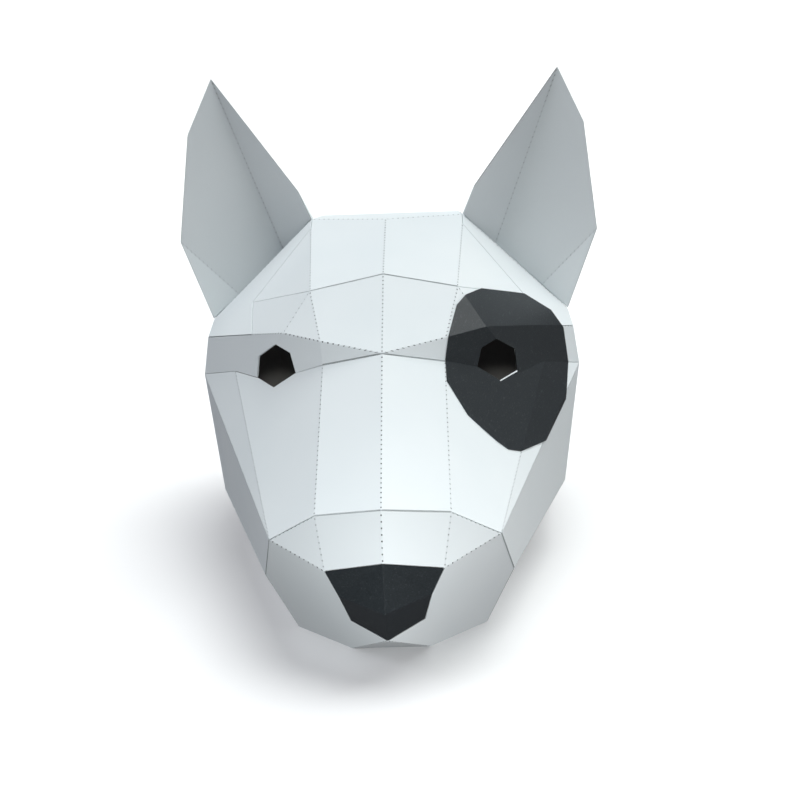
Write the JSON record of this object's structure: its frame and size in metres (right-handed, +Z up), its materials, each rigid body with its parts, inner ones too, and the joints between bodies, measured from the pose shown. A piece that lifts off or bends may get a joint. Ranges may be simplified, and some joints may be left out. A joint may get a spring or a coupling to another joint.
{
  "type": "paper animal mask",
  "caption": "Hollow low-poly bull terrier head mask of folded white card with pricked ears, a black nose and a black patch round an eye; the neck rim is open below.",
  "frame": {"origin": "on the surface under the middle of the mask as it stands on its neck rim", "axes": "+Z up, -Y the way the muzzle points, +X the right of someone who looks at the face"},
  "size_m": [0.2578, 0.3584, 0.2719],
  "materials": {
    "white_card": "matte uncoated card",
    "black_card": "matte uncoated card"
  },
  "bodies": {
    "root": {"crown_panel": "white_card", "forehead_panel": "white_card", "muzzle_panel": "white_card", "muzzle_front": "white_card", "temple_left": "white_card", "temple_right": "white_card", "cheek_left": "white_card", "cheek_right": "white_card", "head_side_left": "white_card", "head_side_right": "white_card", "head_back": "white_card", "ear_front_left": "white_card", "ear_front_right": "white_card", "ear_back_left": "white_card", "ear_back_right": "white_card", "nose": "black_card", "eye_patch": "black_card"}
  },
  "joints": []
}
